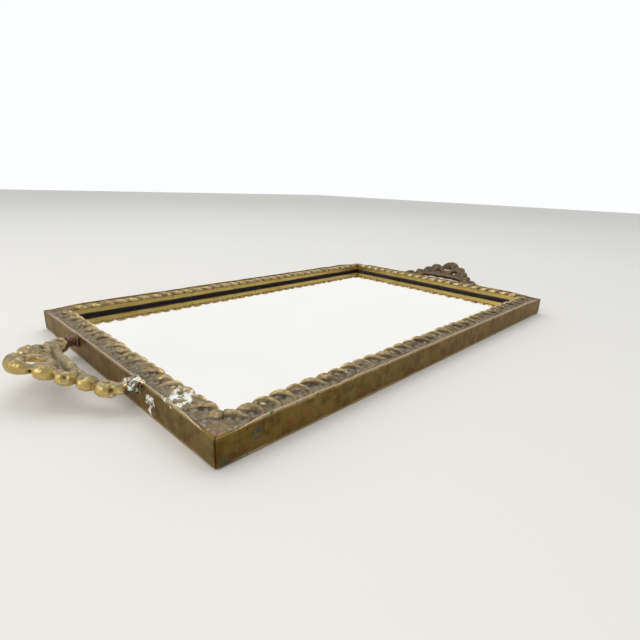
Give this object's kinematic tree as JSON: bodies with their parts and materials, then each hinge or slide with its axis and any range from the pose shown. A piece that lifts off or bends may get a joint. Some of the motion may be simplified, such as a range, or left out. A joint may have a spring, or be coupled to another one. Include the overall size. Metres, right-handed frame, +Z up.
{
  "type": "dresser vanity tray",
  "caption": "Rectangular mirror-floored vanity tray with mitred brass rails, a cast scroll border and an openwork cast handle on each short side.",
  "frame": {"origin": "middle of the tray's underside, on the surface it stands on", "axes": "+X along the long sides towards the right handle, +Y across towards the back rail, +Z up"},
  "size_m": [0.4765, 0.244, 0.0314],
  "materials": {
    "aged_brass": "olive-brown aged brass with bright worn top edges and verdigris spots",
    "cast_border_brass": "cast brass, tan crests and grey patina in the hollows",
    "gilt_brass": "bright gilt brass",
    "mirror": "silvered mirror glass",
    "black_bedding": "black bedding strip",
    "packing_card": "old packing paper",
    "board_wood": "thin plywood",
    "brown_paper": "brown backing paper",
    "fitting_brass": "plain sheet brass",
    "cast_handle_brass": "cast brass, rubbed bright on the lobes and grey-brown above",
    "red_brass": "reddish-brown aged brass",
    "solder": "dull grey solder with pale corrosion"
  },
  "bodies": {
    "root": {"front_rail": "aged_brass", "back_rail": "aged_brass", "left_rail": "aged_brass", "right_rail": "aged_brass", "front_scroll": "cast_border_brass", "back_scroll": "cast_border_brass", "left_scroll": "cast_border_brass", "right_scroll": "cast_border_brass", "front_slip": "gilt_brass", "back_slip": "gilt_brass", "left_slip": "gilt_brass", "right_slip": "gilt_brass", "mirror_glass": "mirror", "glass_bedding": "black_bedding", "packing_sheet": "packing_card", "backing_board": "board_wood", "backing_paper": "brown_paper", "front_left_corner_plate": "fitting_brass", "front_right_corner_plate": "fitting_brass", "back_left_corner_plate": "fitting_brass", "back_right_corner_plate": "fitting_brass", "retaining_tabs": "fitting_brass", "left_handle": "cast_handle_brass", "right_handle": "cast_handle_brass", "left_studs": "red_brass", "right_studs": "red_brass", "left_solder": "solder", "right_solder": "solder"}
  },
  "joints": []
}
